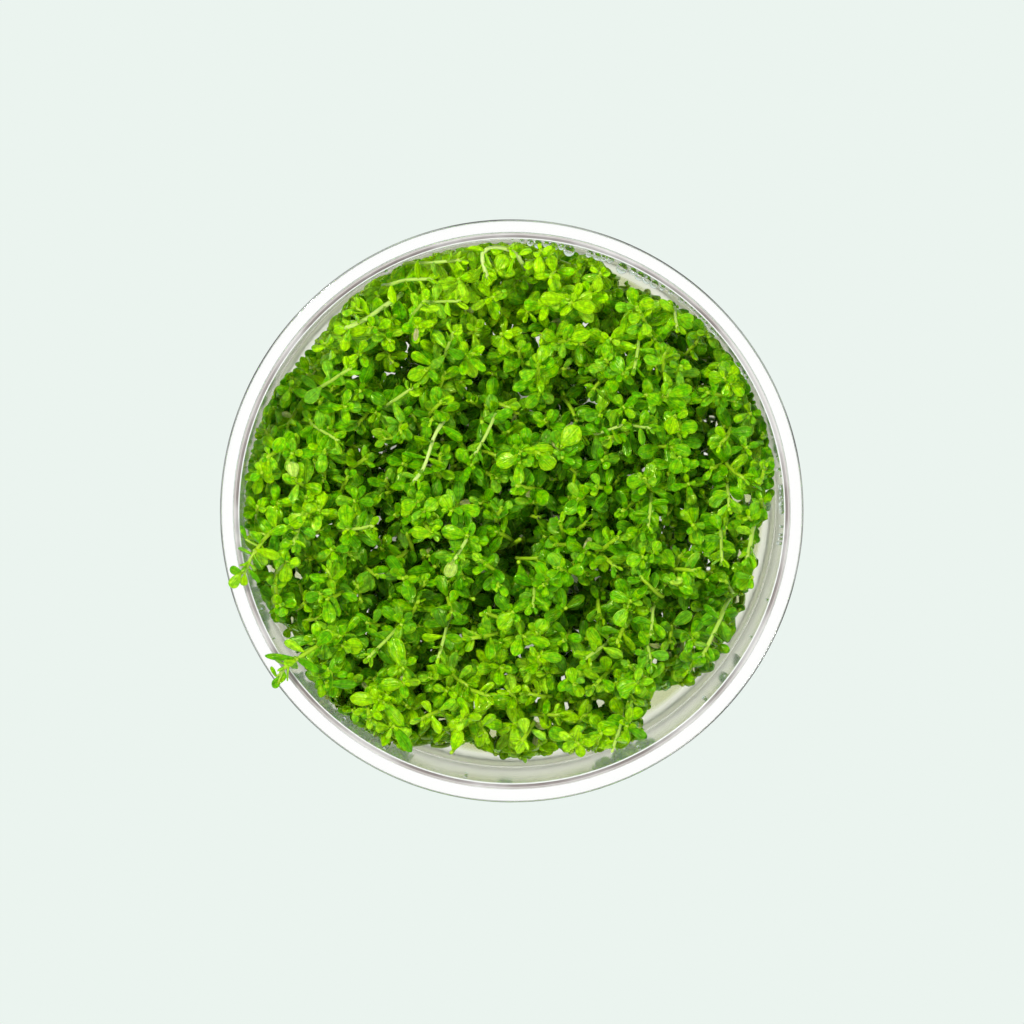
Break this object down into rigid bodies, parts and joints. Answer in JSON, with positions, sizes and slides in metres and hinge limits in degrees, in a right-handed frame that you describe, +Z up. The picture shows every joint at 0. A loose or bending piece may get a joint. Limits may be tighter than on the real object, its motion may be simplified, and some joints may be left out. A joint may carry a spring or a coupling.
{
  "type": "rotala hra in an open tissue-culture cup",
  "caption": "Open clear round culture cup with a flat rim, a bed of nutrient gel, and leafy green aquarium stem plants that fill it to the rim.",
  "frame": {"origin": "centre of the cup's flat underside", "axes": "+Z up through the open mouth, +X to the right and +Y to the top of the view from above"},
  "size_m": [0.1, 0.1, 0.0546],
  "materials": {
    "clear_plastic": "gloss",
    "nutrient_gel": "gloss",
    "leaf_green": "satin"
  },
  "bodies": {
    "root": {"culture_cup": "clear_plastic", "nutrient_gel": "nutrient_gel", "sprig_01": "leaf_green", "sprig_02": "leaf_green", "sprig_03": "leaf_green", "sprig_04": "leaf_green", "sprig_05": "leaf_green", "sprig_06": "leaf_green", "sprig_07": "leaf_green", "sprig_08": "leaf_green", "sprig_09": "leaf_green", "sprig_10": "leaf_green", "sprig_11": "leaf_green", "sprig_12": "leaf_green", "sprig_13": "leaf_green", "sprig_14": "leaf_green", "sprig_15": "leaf_green", "sprig_16": "leaf_green", "sprig_17": "leaf_green", "sprig_18": "leaf_green", "sprig_19": "leaf_green", "sprig_20": "leaf_green", "sprig_21": "leaf_green", "sprig_22": "leaf_green", "sprig_23": "leaf_green", "sprig_24": "leaf_green", "sprig_25": "leaf_green", "sprig_26": "leaf_green", "sprig_27": "leaf_green", "sprig_28": "leaf_green", "sprig_29": "leaf_green", "sprig_30": "leaf_green", "sprig_31": "leaf_green", "sprig_32": "leaf_green", "sprig_33": "leaf_green", "sprig_34": "leaf_green", "sprig_35": "leaf_green", "sprig_36": "leaf_green", "sprig_37": "leaf_green", "sprig_38": "leaf_green", "sprig_39": "leaf_green", "sprig_40": "leaf_green", "sprig_41": "leaf_green", "sprig_42": "leaf_green", "sprig_43": "leaf_green", "sprig_44": "leaf_green", "sprig_45": "leaf_green", "sprig_46": "leaf_green", "sprig_47": "leaf_green", "sprig_48": "leaf_green", "sprig_49": "leaf_green", "sprig_50": "leaf_green", "sprig_51": "leaf_green", "sprig_52": "leaf_green"}
  },
  "joints": []
}
